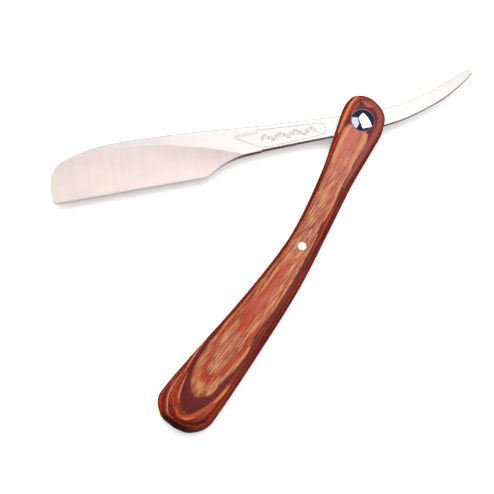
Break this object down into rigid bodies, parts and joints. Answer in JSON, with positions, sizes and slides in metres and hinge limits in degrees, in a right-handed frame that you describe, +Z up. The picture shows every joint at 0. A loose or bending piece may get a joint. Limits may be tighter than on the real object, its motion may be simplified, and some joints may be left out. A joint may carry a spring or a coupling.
{
  "type": "straight razor",
  "caption": "Folding straight razor: a hollow-ground steel blade with a curved tail turns on a domed pivot between two laminated wood scales.",
  "frame": {"origin": "middle of the bottom of the bounding box, on the surface that the open razor lies on", "axes": "+Z up, along the pivot axis; the razor lies on its rear side, half open, with the blade towards -X, the tail towards +X and the broad end of the handle towards -Y"},
  "size_m": [0.1648, 0.1442, 0.0112],
  "materials": {
    "blade_steel": "satin, ground across the blade",
    "laminated_wood": "polished, dyed layers of tan, red and dark purple",
    "wedge_wood": "polished, near black",
    "pivot_chrome": "mirror polished",
    "washer_brass": "turned",
    "rivet_nickel": "pale nickel silver, smooth"
  },
  "bodies": {
    "handle": {"front_scale": "laminated_wood", "rear_scale": "laminated_wood", "end_wedge": "wedge_wood", "pivot_barrel": "pivot_chrome", "pivot_screw": "pivot_chrome", "front_pivot_washer": "washer_brass", "rear_pivot_washer": "washer_brass", "rivet_post": "rivet_nickel", "rivet_tube": "rivet_nickel", "rivet_spacer": "washer_brass"},
    "blade": {"blade": "blade_steel"}
  },
  "joints": [
    {"name": "blade_pivot", "type": "hinge", "parent": "handle", "child": "blade", "pos_m": [0.03975, 0.05012, 0.00559], "axis": [0, 0, 1], "range_deg": [-292, 44.5]}
  ]
}
